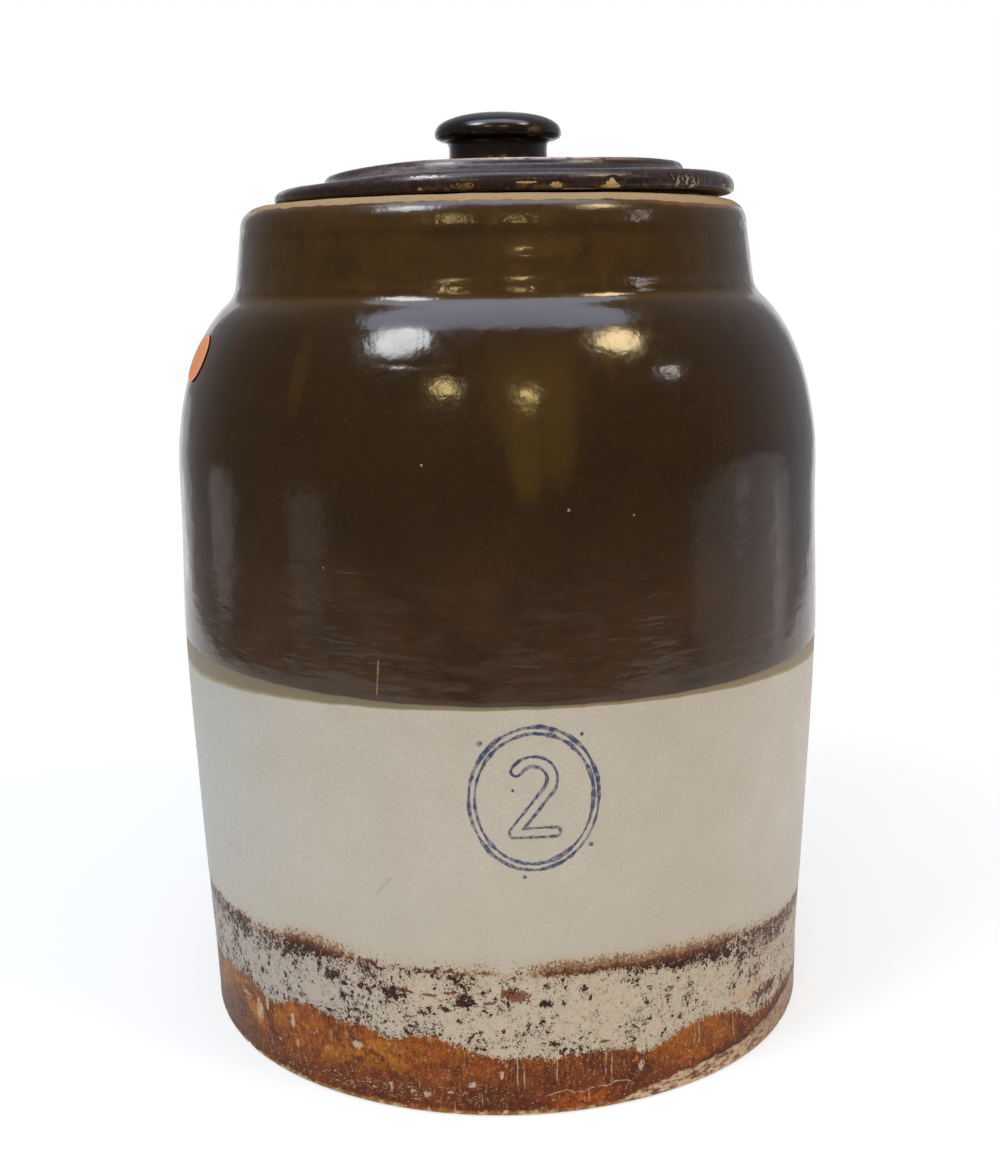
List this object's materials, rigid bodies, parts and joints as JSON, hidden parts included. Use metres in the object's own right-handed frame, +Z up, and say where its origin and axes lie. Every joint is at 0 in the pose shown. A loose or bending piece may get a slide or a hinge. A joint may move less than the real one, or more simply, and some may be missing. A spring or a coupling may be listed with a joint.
{
  "type": "stoneware crock with lid",
  "caption": "Round-shouldered stoneware storage crock with a thick upright neck and a loose lid with a knob, glazed dark brown over cream.",
  "frame": {"origin": "middle of the foot ring, on the surface that the crock stands on", "axes": "+Z up along the crock's axis, -Y the front with the capacity mark, +X to the right seen from the front"},
  "size_m": [0.224, 0.224, 0.3081],
  "materials": {
    "brown_and_cream_glaze": "glossy dark brown slip glaze on the upper half, satin speckled cream glaze below it, bare tan rim and a rusty worn foot",
    "dark_lid_glaze": "semi-gloss dark purple-brown glaze, scuffed, with tan chips along the lower edge",
    "black_knob_glaze": "glossy near-black brown glaze",
    "orange_paper": "matte bare orange paper"
  },
  "bodies": {
    "crock": {"crock_body": "brown_and_cream_glaze", "price_sticker": "orange_paper"},
    "lid": {"lid_disc": "dark_lid_glaze", "lid_knob": "black_knob_glaze"}
  },
  "joints": [
    {"name": "lid_lift", "type": "slide", "parent": "crock", "child": "lid", "axis": [0, 0, 1], "range_m": [0, 0.16]}
  ]
}
